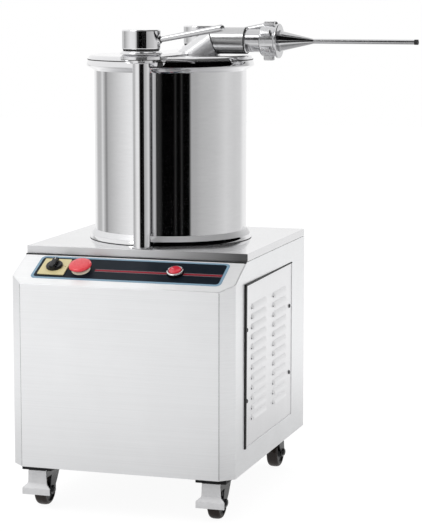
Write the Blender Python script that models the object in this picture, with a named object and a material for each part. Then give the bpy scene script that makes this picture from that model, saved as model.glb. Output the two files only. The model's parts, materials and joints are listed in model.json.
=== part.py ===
"""Floor-standing hydraulic sausage stuffer: cabinet on casters, barrel, piston, clamped swing lid, nozzle.

Metres, +Z up, front towards -Y, nozzle towards +X. Distances in x and y are from the barrel axis and
heights are from the floor; the empty "machine" carries them into the frame whose origin is the middle of
the bottom of the bounding box.
"""

import math

import bmesh
import bpy
from mathutils import Matrix, Vector

# Driving dimensions
WIDTH = 0.530
FRONT = -0.370
REAR = 0.242
CABINET_BOTTOM = 0.104
CABINET_TOP = 0.580
SLOPE_BACK = -0.254
SLOPE_RISE = 0.0535
SHEET = 0.002
CORNER = 0.030
PLATE_TOP = 0.598
PLATE_FRONT = -0.252
GAP = 0.0003

TUBE_RADIUS = 0.180
BARREL_BORE = 0.175
FOOT_RADIUS = 0.192
RIM_RADIUS = 0.198
BARREL_HEIGHT = 0.421
PISTON_RADIUS = 0.1735
SEAL_RADIUS = 0.1744
LID_HEIGHT = 0.0113
BAR_TOP = 0.440

POST_X = 0.005
POST_Y = 0.220
POST_RADIUS = 0.020
STUD_RADIUS = 0.012
EAR_RADIUS = 0.048
KNOB_RADIUS = 0.0435
KNOB_TOP = 0.496
LEVER_SLOPE = math.radians(10.6)

OUTLET_HEIGHT = 0.466
OUTLET_RADIUS = 0.031
OUTLET_BORE = 0.0235
OUTLET_END = 0.186
OUTLET_SLOPE = math.radians(35)
MITRE_X = 0.110
NOZZLE_TIP = 0.594
NOZZLE_RADIUS = 0.0055

SWITCH = (-0.175, 0.0705)
STOP = (-0.109, 0.064)
BUTTON = (0.1155, 0.069)
SHAFT_HOLE = 0.0060
SHANK_HOLE = 0.0112

MOUNT_HALF = 0.036
WHEEL_RADIUS = 0.0375
TRAIL = 0.028
WHEEL_FACETS = 20
FRONT_SWIVEL = (0.209, -0.269)
REAR_SWIVEL = (0.200, 0.191)
PEDAL_PIVOT = (0.030, 0.082)

SIDE_PANEL_Y = (-0.265, 0.127)
SIDE_PANEL_Z = (0.158, 0.528)
LOUVRES_Y = ((-0.212, -0.097), (-0.035, 0.075))
LOUVRES = 12
LOUVRE_PITCH = 0.0232
LOUVRE_TOP = 0.481
SCREWS_Y = (-0.250, 0.108)
SCREWS_Z = (0.2635, 0.4260)
REAR_SLOTS_Z = (0.40, 0.42, 0.44, 0.46, 0.48, 0.50)
GLAND_X = 0.180
GLAND_Z = 0.170

LEVER_ENTRY = (0.0415, 0.4725)
LEVER_LENGTH = 0.1575
MOTOR_AXIS = (0.150, 0.200)
PUMP_FACE_Y = -0.0706

SLOPE_ANGLE = math.atan2(SLOPE_RISE, SLOPE_BACK - FRONT)
SLOPE_FOOT = CABINET_TOP - SLOPE_RISE
BACK_EDGE = POST_Y + EAR_RADIUS
MIDDLE_X = (NOZZLE_TIP - WIDTH / 2) / 2
MIDDLE_Y = (FRONT + BACK_EDGE) / 2

ALONG_X = (0, math.radians(90), 0)
ALONG_Y = (math.radians(-90), 0, 0)

# colour, metallic, roughness
LOOKS = {
    "brushed": ((0.72, 0.73, 0.74), 1.0, 0.34),
    "polished": ((0.80, 0.81, 0.82), 1.0, 0.10),
    "zinc": ((0.62, 0.63, 0.65), 1.0, 0.32),
    "painted grey": ((0.30, 0.32, 0.34), 0.0, 0.45),
    "painted blue": ((0.05, 0.12, 0.25), 0.0, 0.40),
    "cast": ((0.45, 0.46, 0.47), 0.9, 0.50),
    "black": ((0.02, 0.02, 0.022), 0.0, 0.35),
    "navy": ((0.012, 0.022, 0.040), 0.0, 0.30),
    "yellow": ((0.82, 0.72, 0.32), 0.0, 0.40),
    "red": ((0.72, 0.05, 0.06), 0.0, 0.28),
    "cream": ((0.80, 0.76, 0.64), 0.0, 0.45),
    "rubber": ((0.035, 0.030, 0.028), 0.0, 0.70),
    "white plastic": ((0.82, 0.83, 0.82), 0.0, 0.40),
    "copper": ((0.72, 0.38, 0.22), 1.0, 0.30),
}


def clear_scene():
    for old in list(bpy.data.objects):
        bpy.data.objects.remove(old, do_unlink=True)


def empty(name, location=(0, 0, 0), rotation=(0, 0, 0), parent=None):
    holder = bpy.data.objects.new(name, None)
    bpy.context.scene.collection.objects.link(holder)
    holder.location = location
    holder.rotation_euler = rotation
    holder.parent = parent
    return holder


def material(name, look):
    colour, metallic, roughness = LOOKS[look]
    made = bpy.data.materials.new(name + "_material")
    made.use_nodes = True
    shader = made.node_tree.nodes["Principled BSDF"]
    shader.inputs["Base Color"].default_value = (*colour, 1)
    shader.inputs["Metallic"].default_value = metallic
    shader.inputs["Roughness"].default_value = roughness
    made.diffuse_color = (*colour, 1)
    return made


# Solids as bmesh


def turned(outline, steps=48, first=0.0):
    """A closed outline of (radius, height) turned about Z. Points at radius 0 become one point."""
    solid = bmesh.new()
    rings = []
    for radius, height in outline:
        if radius == 0:
            rings.append([solid.verts.new((0, 0, height))])
            continue
        angles = [first + math.tau * step / steps for step in range(steps)]
        rings.append([solid.verts.new((radius * math.cos(a), radius * math.sin(a), height)) for a in angles])
    for here, after in zip(rings, rings[1:] + rings[:1]):
        for step in range(steps):
            beside = (step + 1) % steps
            corners = [here[step % len(here)], here[beside % len(here)]]
            corners += [after[beside % len(after)], after[step % len(after)]]
            corners = list(dict.fromkeys(corners))
            if len(corners) > 2:
                solid.faces.new(corners)
    bmesh.ops.recalc_face_normals(solid, faces=solid.faces)
    return solid


def rod(radius, low, high, steps=24, edge=0.0):
    outline = [(0, low), (radius - edge, low), (radius, low + edge), (radius, high - edge)]
    outline += [(radius - edge, high), (0, high)]
    if edge == 0:
        outline = [(0, low), (radius, low), (radius, high), (0, high)]
    return turned(outline, steps)


def ring(inner, outer, low, high, steps=32, edge=0.0):
    if edge == 0:
        return turned([(inner, low), (outer, low), (outer, high), (inner, high)], steps)
    outline = [(inner, low), (outer - edge, low), (outer, low + edge)]
    outline += [(outer, high - edge), (outer - edge, high), (inner, high)]
    return turned(outline, steps)


def block(low, high, edge=0.0, segments=1):
    solid = bmesh.new()
    bmesh.ops.create_cube(solid, size=1)
    for vertex in solid.verts:
        vertex.co = [a + (c + 0.5) * (b - a) for a, b, c in zip(low, high, vertex.co)]
    if edge:
        bmesh.ops.bevel(
            solid, geom=solid.edges[:], offset=edge, segments=segments, profile=0.5, affect="EDGES"
        )
    return solid


def trimmed(solid, planes):
    """Cuts away what lies outside each (point, outward normal) and closes the cut."""
    for point, normal in planes:
        geometry = solid.verts[:] + solid.edges[:] + solid.faces[:]
        cut = bmesh.ops.bisect_plane(solid, geom=geometry, plane_co=point, plane_no=normal, clear_outer=True)
        rim = [part for part in cut["geom_cut"] if isinstance(part, bmesh.types.BMEdge)]
        bmesh.ops.contextual_create(solid, geom=rim)
    bmesh.ops.recalc_face_normals(solid, faces=solid.faces)
    return solid


def extruded(corners, low, high, axis="Z"):
    """A polygon given in the two axes after the named one, carried along it from low to high."""
    place = {
        "Z": lambda a, b, h: (a, b, h),
        "X": lambda a, b, h: (h, a, b),
    }[axis]
    solid = bmesh.new()
    bottom = [solid.verts.new(place(a, b, low)) for a, b in corners]
    top = [solid.verts.new(place(a, b, high)) for a, b in corners]
    solid.faces.new(bottom)
    solid.faces.new(top)
    for i in range(len(corners)):
        j = (i + 1) % len(corners)
        solid.faces.new((bottom[i], bottom[j], top[j], top[i]))
    bmesh.ops.recalc_face_normals(solid, faces=solid.faces)
    return solid


def lofted(rings):
    """Rings of equal length joined in order, with the first and the last closed."""
    solid = bmesh.new()
    rows = [[solid.verts.new(point) for point in points] for points in rings]
    for here, after in zip(rows, rows[1:]):
        for i in range(len(here)):
            j = (i + 1) % len(here)
            solid.faces.new((here[i], here[j], after[j], after[i]))
    solid.faces.new(rows[0])
    solid.faces.new(rows[-1])
    bmesh.ops.recalc_face_normals(solid, faces=solid.faces)
    return solid


def piped(path, radius, steps=8, bend=0.012, bend_steps=2):
    """A round pipe along straight legs with rounded corners."""
    points = [Vector(point) for point in path]
    smooth = [points[0]]
    for before, corner, after in zip(points, points[1:], points[2:]):
        start = corner + (before - corner).normalized() * bend
        end = corner + (after - corner).normalized() * bend
        for i in range(bend_steps + 1):
            t = i / bend_steps
            smooth.append(start * (1 - t) ** 2 + corner * 2 * t * (1 - t) + end * t**2)
    smooth.append(points[-1])
    directions = [(b - a).normalized() for a, b in zip(smooth, smooth[1:])]
    side = directions[0].orthogonal().normalized()
    rings = []
    for i, point in enumerate(smooth):
        before = directions[max(i - 1, 0)]
        after = directions[min(i, len(directions) - 1)]
        along = (before + after).normalized()
        side = (side - along * side.dot(along)).normalized()
        across = along.cross(side)
        angles = [math.tau * step / steps for step in range(steps)]
        rings.append([point + radius * (side * math.cos(a) + across * math.sin(a)) for a in angles])
    return lofted(rings)


def moved(solid, place=(0, 0, 0), turn=(0, 0, 0)):
    turning = Matrix.Rotation(turn[2], 4, "Z") @ Matrix.Rotation(turn[1], 4, "Y")
    turning = turning @ Matrix.Rotation(turn[0], 4, "X")
    bmesh.ops.transform(solid, matrix=Matrix.Translation(place) @ turning, verts=solid.verts)
    return solid


def mesh_of(name, solid):
    mesh = bpy.data.meshes.new(name)
    solid.to_mesh(mesh)
    solid.free()
    return mesh


def worked(name, solid, steps):
    """Joins or cuts further solids, in order, and returns the finished mesh."""
    base = bpy.data.objects.new(name + "_blank", mesh_of(name + "_blank", solid))
    bpy.context.scene.collection.objects.link(base)
    tools = []
    for operation, shape in steps:
        tool = bpy.data.objects.new(name + "_tool", mesh_of(name + "_tool", shape))
        bpy.context.scene.collection.objects.link(tool)
        modifier = base.modifiers.new(operation, "BOOLEAN")
        modifier.operation = operation
        modifier.solver = "EXACT"
        modifier.object = tool
        tools.append(tool)
    bpy.context.view_layer.update()
    graph = bpy.context.evaluated_depsgraph_get()
    mesh = bpy.data.meshes.new_from_object(base.evaluated_get(graph))
    for helper in [base, *tools]:
        bpy.data.objects.remove(helper, do_unlink=True)
    return mesh


def piece(name, look, solid, parent, steps=(), location=(0, 0, 0), rotation=(0, 0, 0), crease=32):
    """One named sub-part. Its mesh is in its own coordinates; location is on its joint axis when it moves."""
    mesh = worked(name, solid, steps) if steps else mesh_of(name, solid)
    mesh.name = name
    made = bpy.data.objects.new(name, mesh)
    bpy.context.scene.collection.objects.link(made)
    made.parent = parent
    made.location = location
    made.rotation_euler = rotation
    mesh.materials.clear()
    mesh.materials.append(material(name, look))
    for face in mesh.polygons:
        face.use_smooth = True
        face.material_index = 0
    mesh.set_sharp_from_angle(angle=math.radians(crease))
    return made


def join(solid):
    return ("UNION", solid)


def cut(solid):
    return ("DIFFERENCE", solid)


def merged(solids):
    """Several separate shapes as one tool."""
    whole = bmesh.new()
    for solid in solids:
        mesh = mesh_of("shape", solid)
        whole.from_mesh(mesh)
        bpy.data.meshes.remove(mesh)
    return whole


# Cabinet


def cabinet_form(inset, bottom, top, back):
    """The outside of the cabinet, moved inwards: a box with chamfered front corners and the control slope."""
    half = WIDTH / 2 - inset
    slope = Vector((0, -math.sin(SLOPE_ANGLE), math.cos(SLOPE_ANGLE)))
    planes = [(Vector((0, FRONT, SLOPE_FOOT)) - slope * inset, slope)]
    for side in (-1, 1):
        normal = Vector((side, -1, 0)).normalized()
        planes.append((Vector((side * (WIDTH / 2 - CORNER), FRONT, 0)) - normal * inset, normal))
    return trimmed(block((-half, FRONT + inset, bottom), (half, back, top)), planes)


def slope_matrix():
    return Matrix.Translation((0, FRONT, SLOPE_FOOT)) @ Matrix.Rotation(SLOPE_ANGLE, 4, "X")


def on_slope(solid):
    bmesh.ops.transform(solid, matrix=slope_matrix(), verts=solid.verts)
    return solid


def build_cabinet(machine):
    wall = WIDTH / 2
    steps = [cut(cabinet_form(SHEET, 0.09, 0.70, 0.30))]
    opening_low = (0.250, SIDE_PANEL_Y[0] - 0.0095, SIDE_PANEL_Z[0] - 0.0015)
    opening_high = (0.280, SIDE_PANEL_Y[1] + 0.0015, SIDE_PANEL_Z[1] + 0.0033)
    steps.append(cut(block(opening_low, opening_high)))
    # Strips that carry the side panel's screws
    strip_low, strip_high = 0.166, 0.520
    for near, far, reach in ((-0.292, -0.2755, -0.240), (0.150, 0.1295, 0.098)):
        for end, out in ((far, 0.0015), (reach, 0.0040)):
            ys = sorted((near, end))
            strip = block((wall - 0.0075, ys[0], strip_low), (wall - out, ys[1], strip_high))
            steps.append(join(strip))
    screw_holes = [
        moved(rod(0.0026, -0.02, 0.02, 12), (wall - 0.005, y, z), ALONG_X) for y, z in side_screws()
    ]
    steps.append(cut(merged(screw_holes)))
    steps.append(cut(on_slope(merged(control_holes(0.02)))))
    piece("cabinet_shell", "brushed", cabinet_form(0, CABINET_BOTTOM, CABINET_TOP, REAR), machine, steps)

    tray_steps = [cut(cabinet_form(SHEET + 0.0025, CABINET_BOTTOM + 0.003, 0.30, REAR - 0.0045))]
    tray = cabinet_form(SHEET + GAP, CABINET_BOTTOM, CABINET_BOTTOM + 0.030, REAR - 0.0025)
    piece("base_tray", "zinc", tray, machine, tray_steps)

    slots = [block((-0.110, 0.230, z), (0.110, 0.250, z + 0.006)) for z in REAR_SLOTS_Z]
    slots.append(moved(rod(0.0105, -0.02, 0.02, 20), (GLAND_X, REAR, GLAND_Z), ALONG_Y))
    panel = block((-wall + SHEET + GAP, REAR - SHEET, 0.1045), (wall - SHEET - GAP, REAR - GAP, 0.5795))
    piece("rear_panel", "brushed", panel, machine, [cut(merged(slots))])

    deck = block((-wall, PLATE_FRONT, CABINET_TOP + GAP), (wall, REAR, PLATE_TOP), 0.002, 2)
    rim = 0.003
    hollow_low = (-wall + rim, PLATE_FRONT + rim, CABINET_TOP - 0.010)
    hollow = block(hollow_low, (wall - rim, REAR - rim, PLATE_TOP - 0.006))
    studs = [rod(0.026, 0.5, 0.7, 32)]
    studs += [moved(rod(0.0085, 0.5, 0.7, 16), (POST_X, y, 0)) for y in (-POST_Y, POST_Y)]
    piece("top_plate", "brushed", deck, machine, [cut(hollow), cut(merged(studs))])

    gland = turned([(0.004, -0.016), (0.0098, -0.016), (0.0098, 0.0006), (0.0150, 0.0006), (0.0150, 0.0070),
                    (0.0110, 0.0070), (0.0090, 0.0135), (0.0040, 0.0135)], 16)
    piece("cable_gland", "black", gland, machine, location=(GLAND_X, REAR, GLAND_Z), rotation=ALONG_Y)


def side_screws():
    return [(y, z) for y in SCREWS_Y for z in SCREWS_Z]


def louvre(ends, top, shrink):
    """A pressed hood on the +X face: closed above and at its ends, open below."""
    face = WIDTH / 2 - 0.0015
    y0 = ends[0] + shrink
    y1 = ends[1] - shrink
    back = face - (0.0010 if shrink == 0 else 0.006)
    out = face + 0.0052 - shrink
    lip = top - 0.0125 - 2 * shrink
    upper = top - 1.5 * shrink
    rise = 0.0060
    crown = lip + 0.0016
    inner = [(back, y0, lip), (back, y1, lip), (back, y1, upper), (back, y0, upper)]
    outer = [(out, y0 + rise, lip), (out, y1 - rise, lip), (out, y1 - rise, crown), (out, y0 + rise, crown)]
    return lofted([inner, outer])


def build_side_panel(machine):
    face = WIDTH / 2 - 0.0015
    sheet = block((face - 0.0015, SIDE_PANEL_Y[0], SIDE_PANEL_Z[0]), (face, SIDE_PANEL_Y[1], SIDE_PANEL_Z[1]))
    tops = [LOUVRE_TOP - LOUVRE_PITCH * i for i in range(LOUVRES)]
    hoods = merged([louvre(ends, top, 0) for ends in LOUVRES_Y for top in tops])
    voids = merged([louvre(ends, top, 0.0012) for ends in LOUVRES_Y for top in tops])
    holes = [moved(rod(0.0030, -0.02, 0.02, 12), (face, y, z), ALONG_X) for y, z in side_screws()]
    piece("side_panel", "brushed", sheet, machine, [join(hoods), cut(voids), cut(merged(holes))])
    head = [(0, -0.012), (0.0021, -0.012), (0.0021, 0.0003), (0.0050, 0.0003), (0.0046, 0.0020), (0, 0.0034)]
    for i, (y, z) in enumerate(side_screws()):
        name = f"side_panel_screw_{i + 1}"
        piece(name, "zinc", turned(head, 12), machine, location=(face, y, z), rotation=ALONG_X)


# Barrel, posts and lid


def build_barrel(machine):
    foot = [(BARREL_BORE, GAP), (FOOT_RADIUS, GAP), (FOOT_RADIUS, 0.0035), (0.1895, 0.0115), (0.1845, 0.0150),
            (TUBE_RADIUS, 0.0200)]
    rim = [(TUBE_RADIUS, 0.3975), (0.1880, 0.4025), (0.1945, 0.4060), (RIM_RADIUS, 0.4090), (0.1968, 0.4160),
           (0.1953, BARREL_HEIGHT), (BARREL_BORE, BARREL_HEIGHT)]
    piece("barrel", "polished", turned(foot + rim, 60), machine, location=(0, 0, PLATE_TOP))

    stud_top = 0.4875
    post = [(0, -0.020), (0.0080, -0.020), (0.0080, GAP), (POST_RADIUS, GAP), (POST_RADIUS, 0.4195),
            (0.0188, BARREL_HEIGHT), (STUD_RADIUS, BARREL_HEIGHT), (STUD_RADIUS, stud_top), (0, stud_top)]
    for side, y in (("front", -POST_Y), ("rear", POST_Y)):
        piece(f"{side}_post", "polished", turned(post, 24), machine, location=(POST_X, y, PLATE_TOP))


def outlet_ring(radius, centre_x, centre_z, normal, axis, steps):
    """The round section of a pipe along axis, cut by the plane with this normal through the centre."""
    rings = []
    side = Vector((0, 1, 0))
    up = side.cross(axis)
    for step in range(steps):
        angle = math.tau * step / steps
        offset = radius * (side * math.cos(angle) + up * math.sin(angle))
        slide = -offset.dot(normal) / axis.dot(normal)
        rings.append(Vector((centre_x, 0, centre_z)) + offset + axis * slide)
    return rings


def outlet(radius, start_z, end_x, steps=28):
    """The mitred outlet: a leg that climbs from the lid and a level leg towards +X."""
    rising = Vector((math.cos(OUTLET_SLOPE), 0, math.sin(OUTLET_SLOPE)))
    level = Vector((1, 0, 0))
    mitre = (rising + level).normalized()
    flat = Vector((0, 0, 1))
    start_x = MITRE_X - (OUTLET_HEIGHT - start_z) / math.tan(OUTLET_SLOPE)
    return lofted([
        outlet_ring(radius, start_x, start_z, flat, rising, steps),
        outlet_ring(radius, MITRE_X, OUTLET_HEIGHT, mitre, rising, steps),
        outlet_ring(radius, end_x, OUTLET_HEIGHT, level, level, steps),
    ])


def capsule(half_width, reach, steps=8):
    """Outline of a bar along Y with a round end at each post."""
    points = []
    for end, start in ((1, 0), (-1, math.pi)):
        for i in range(steps + 1):
            angle = start + math.pi * i / steps
            points.append((POST_X + half_width * math.cos(angle), end * reach + half_width * math.sin(angle)))
    return points


def build_lid(machine):
    low = BARREL_HEIGHT + GAP
    high = BARREL_HEIGHT + LID_HEIGHT
    disc = turned([(0, low), (0.1948, low), (0.1920, low + 0.0065), (0.1890, high - 0.0012), (0.1865, high),
                   (0, high)], 60)
    wide, narrow = capsule(EAR_RADIUS, POST_Y), capsule(0.040, POST_Y)
    bar = lofted([[(x, y, low) for x, y in wide], [(x, y, high + 0.0004) for x, y in wide],
                  [(x, y, BAR_TOP) for x, y in narrow]])
    spigot = moved(rod(0.0275, 0, 0.055, 28), (OUTLET_END - 0.001, 0, OUTLET_HEIGHT), ALONG_X)
    under, over = 0.40, 0.46
    slot_half = 0.0132
    stud_hole = moved(rod(0.0126, under, over, 20), (POST_X, POST_Y, 0))
    slot = moved(rod(slot_half, under, over, 20), (POST_X, -POST_Y, 0))
    opening = block((POST_X - 0.080, -POST_Y - slot_half, under), (POST_X, -POST_Y + slot_half, over))
    pivot = Vector((POST_X, POST_Y, PLATE_TOP))
    shift = (-POST_X, -POST_Y, 0)
    steps = [join(bar), join(outlet(OUTLET_RADIUS, low + 0.003, OUTLET_END)), join(spigot),
             cut(outlet(OUTLET_BORE, under, 0.250)), cut(stud_hole), cut(slot), cut(opening)]
    steps = [(operation, moved(shape, shift)) for operation, shape in steps]
    piece("lid", "polished", moved(disc, shift), machine, steps, location=pivot, crease=25)


def build_clamps(machine):
    """Washer, screwed knob and lever bar on each post."""
    for side, y in (("front", -POST_Y), ("rear", POST_Y)):
        washer = turned([(0.0127, 0.4404), (0.0478, 0.4404), (0.0478, 0.4460), (0.0440, 0.4490),
                         (0.0127, 0.4490)], 32)
        piece(f"{side}_washer", "polished", washer, machine, location=(POST_X, y, PLATE_TOP))
        knob = turned([(0.0126, 0.4494), (0.0395, 0.4494), (0.0426, 0.4515), (KNOB_RADIUS, 0.4550),
                       (KNOB_RADIUS, 0.4940), (0.0415, KNOB_TOP), (0, KNOB_TOP), (0, 0.4900),
                       (0.0126, 0.4900)], 36)
        entry = (LEVER_ENTRY[0], 0, LEVER_ENTRY[1])
        tilt = (0, math.radians(90) - LEVER_SLOPE, 0)
        socket = moved(rod(0.0066, -0.0165, 0.030, 14), entry, tilt)
        collar = moved(rod(0.0105, -0.004, 0.0045, 16), entry, tilt)
        steps = [join(collar), cut(socket)]
        piece(f"{side}_knob", "polished", knob, machine, steps, location=(POST_X, y, PLATE_TOP))
        bar = turned([(0, -0.0155), (0.0060, -0.0155), (0.0060, 0.010), (0.0078, LEVER_LENGTH - 0.006),
                      (0.0064, LEVER_LENGTH - 0.001), (0.0040, LEVER_LENGTH), (0, LEVER_LENGTH)], 18)
        bar = moved(bar, entry, tilt)
        piece(f"{side}_lever", "polished", bar, machine, location=(POST_X, y, PLATE_TOP))


def build_nozzle(machine):
    bore = 0.0043
    outline = [(0.0228, 0.2404), (0.0296, 0.2404), (0.0296, 0.2460), (0.0240, 0.2460), (0.0240, 0.2730),
               (0.0070, 0.3420), (NOZZLE_RADIUS, 0.3470), (NOZZLE_RADIUS, NOZZLE_TIP),
               (bore, NOZZLE_TIP), (bore, 0.3470), (0.0200, 0.2750)]
    axis_start = (0, 0, PLATE_TOP + OUTLET_HEIGHT)
    piece("nozzle", "polished", turned(outline, 24), machine, location=axis_start, rotation=ALONG_X)
    nut = turned([(0.0279, 0.2255), (0.0355, 0.2255), (0.0355, 0.2600), (0.0400, 0.2615),
                  (0.0400, 0.2680), (0.0246, 0.2680), (0.0246, 0.2464), (0.0300, 0.2464),
                  (0.0300, 0.2402), (0.0279, 0.2402)], 30)
    lugs = merged([moved(block((0.0320, -0.0065, 0.2290), (0.0475, 0.0065, 0.2560)),
                         turn=(0, 0, math.tau * i / 6)) for i in range(6)])
    piece("union_nut", "polished", nut, machine, [join(lugs)], location=axis_start, rotation=ALONG_X)


# Controls, in coordinates of the slope: x across, y up the slope, z away from the sheet


def rounded_rectangle(low, high, radius, steps=4):
    points = []
    near_x, far_x = low[0] + radius, high[0] - radius
    near_y, far_y = low[1] + radius, high[1] - radius
    centres = ((far_x, far_y), (near_x, far_y), (near_x, near_y), (far_x, near_y))
    for start, (centre_x, centre_y) in enumerate(centres):
        for i in range(steps + 1):
            angle = math.pi / 2 * (start + i / steps)
            points.append((centre_x + radius * math.cos(angle), centre_y + radius * math.sin(angle)))
    return points


def control_holes(reach):
    holes = [moved(rod(SHAFT_HOLE, -reach, reach, 16), (*SWITCH, 0))]
    holes += [moved(rod(SHANK_HOLE, -reach, reach, 20), (*place, 0)) for place in (STOP, BUTTON)]
    return holes


def build_controls(machine):
    slope = empty("control_slope", (0, FRONT, SLOPE_FOOT), (SLOPE_ANGLE, 0, 0), machine)
    overlay = extruded(rounded_rectangle((-0.221, 0.025), (0.231, 0.117), 0.012), GAP, 0.0011)
    piece("control_panel", "navy", overlay, slope, [cut(merged(control_holes(0.01)))])

    plate = extruded(rounded_rectangle((-0.032, -0.032), (0.032, 0.032), 0.003, 2), 0.0014, 0.0040)
    hole = rod(SHAFT_HOLE, -0.01, 0.01, 16)
    piece("switch_plate", "yellow", plate, slope, [cut(hole)], location=(*SWITCH, 0))
    knob = turned([(0, -0.0015), (0.0040, -0.0015), (0.0040, 0.0043), (0.0195, 0.0043), (0.0195, 0.0085),
                   (0.0175, 0.0105), (0, 0.0105)], 24)
    grip = block((-0.0055, -0.0225, 0.0090), (0.0055, 0.0225, 0.0200), 0.002)
    piece("switch_knob", "black", knob, slope, [join(grip)], location=(*SWITCH, 0))
    body = block((-0.022, -0.022, -0.0420), (0.022, 0.022, -0.0024), 0.002)
    piece("switch_body", "black", body, slope, location=(*SWITCH, 0))

    collar = turned([(0.0064, -0.0300), (0.0105, -0.0300), (0.0105, 0.0014), (0.0215, 0.0014),
                     (0.0215, 0.0034), (0.0175, 0.0060), (0.0064, 0.0060)], 24)
    piece("stop_collar", "cream", collar, slope, location=(*STOP, 0))
    stem = turned([(0, -0.0250), (0.0058, -0.0250), (0.0058, 0.0155), (0, 0.0155)], 16)
    piece("stop_stem", "white plastic", stem, slope, location=(*STOP, 0))
    head = turned([(0.0061, 0.0115), (0.0250, 0.0115), (0.0265, 0.0140), (0.0258, 0.0172),
                   (0.0220, 0.0197), (0.0140, 0.0208), (0, 0.0211), (0, 0.0158), (0.0061, 0.0158)], 32)
    piece("stop_head", "red", head, slope, location=(*STOP, 0))

    bezel = turned([(0.0064, -0.0300), (0.0105, -0.0300), (0.0105, 0.0014), (0.0185, 0.0014),
                    (0.0185, 0.0075), (0.0159, 0.0075), (0.0159, 0.0046), (0.0064, 0.0046)], 24)
    piece("button_bezel", "black", bezel, slope, location=(*BUTTON, 0))
    lens = turned([(0, -0.0200), (0.0058, -0.0200), (0.0058, 0.0090), (0.0155, 0.0090), (0.0155, 0.0145),
                   (0.0135, 0.0168), (0.0075, 0.0177), (0, 0.0178)], 24)
    piece("button_lens", "red", lens, slope, location=(*BUTTON, 0))


# Hydraulics and electrics inside the cabinet


def build_ram(machine):
    tube = turned([(0, 0.150), (0.045, 0.150), (0.045, 0.5760), (0.072, 0.5760), (0.072, 0.5914),
                   (0.0380, 0.5914), (0.0380, 0.166), (0, 0.166)], 28)
    port = moved(rod(0.0062, -0.02, 0.02, 12), (-0.045, 0, 0.180), ALONG_X)
    piece("ram_cylinder", "painted grey", tube, machine, [cut(port)])
    gland = ring(0.0230, 0.0377, 0.5700, 0.5914, 28)
    piece("ram_gland", "zinc", gland, machine)
    ram = turned([(0, 0.168), (0.0376, 0.168), (0.0376, 0.1895), (0.0225, 0.1895),
                  (0.0225, 0.6045), (0.0150, 0.6045), (0.0150, 0.6240), (0, 0.6240)], 28)
    piece("ram_rod", "polished", ram, machine)
    groove = PISTON_RADIUS - 0.0045
    disc = turned([(0.0154, 0.6050), (groove, 0.6020), (PISTON_RADIUS, 0.6035), (PISTON_RADIUS, 0.6120),
                   (groove, 0.6120), (groove, 0.6200), (PISTON_RADIUS, 0.6200), (PISTON_RADIUS, 0.6300),
                   (0, 0.6350), (0, 0.6244), (0.0154, 0.6244)], 40)
    piece("piston", "polished", disc, machine)
    seal = ring(groove + 0.0004, SEAL_RADIUS, 0.6124, 0.6196, 40)
    piece("piston_seal", "white plastic", seal, machine)


def build_power_pack(machine):
    tank = block((-0.245, -0.060, 0.1075), (-0.070, 0.220, 0.3900), 0.0015)
    hollow = block((-0.243, -0.058, 0.1095), (-0.072, 0.218, 0.4200))
    piece("oil_tank", "painted grey", tank, machine, [cut(hollow)])
    cover = block((-0.248, -0.063, 0.3904), (-0.067, 0.223, 0.3944))
    filler = moved(rod(0.020, 0.390, 0.418, 20), (-0.200, 0.160, 0.0012))
    piece("tank_cover", "painted grey", cover, machine, [join(filler)])

    motor = turned([(0, 0), (0.060, 0), (0.066, 0.014), (0.066, 0.160), (0.070, 0.162),
                    (0.070, 0.205), (0.062, 0.216), (0, 0.216)], 24)
    foot = block((-0.060, 0.040, 0.030), (0.060, 0.0922, 0.150))
    motor_place = (MOTOR_AXIS[0], -0.010, MOTOR_AXIS[1])
    piece("motor", "painted blue", motor, machine, [join(foot)], location=motor_place, rotation=ALONG_Y)
    bell = turned([(0, 0), (0.040, 0), (0.046, 0.006), (0.058, 0.050), (0.058, 0.060), (0, 0.060)], 24)
    pump_place = (MOTOR_AXIS[0], PUMP_FACE_Y, MOTOR_AXIS[1])
    piece("bell_housing", "cast", bell, machine, location=pump_place, rotation=ALONG_Y)
    pump = block((-0.034, -0.045, -0.052), (0.034, 0.040, -0.0004), 0.004)
    boss = rod(0.030, -0.060, -0.044, 20)
    piece("gear_pump", "cast", pump, machine, [join(boss)], location=pump_place, rotation=ALONG_Y)

    valve = block((-0.200, -0.030, 0.3948), (-0.110, 0.050, 0.4650), 0.003)
    solenoid = moved(rod(0.020, 0, 0.055, 16), (-0.155, 0.048, 0.430), ALONG_Y)
    piece("valve_block", "zinc", valve, machine, [join(solenoid)])
    pressure = piped([(0.150, -0.095, 0.2455), (0.150, -0.095, 0.500), (-0.155, -0.095, 0.500),
                      (-0.155, 0.010, 0.500), (-0.155, 0.010, 0.4655)], 0.007)
    piece("pressure_pipe", "zinc", pressure, machine)
    feed = piped([(-0.1095, 0, 0.430), (-0.0575, 0, 0.430), (-0.0575, 0, 0.180), (-0.0457, 0, 0.180)],
                 0.0055, bend=0.008)
    piece("ram_pipe", "zinc", feed, machine)
    box = block((0.090, FRONT + SHEET + GAP, 0.300), (0.230, -0.300, 0.450), 0.003)
    piece("control_box", "white plastic", box, machine)


# Casters


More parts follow.
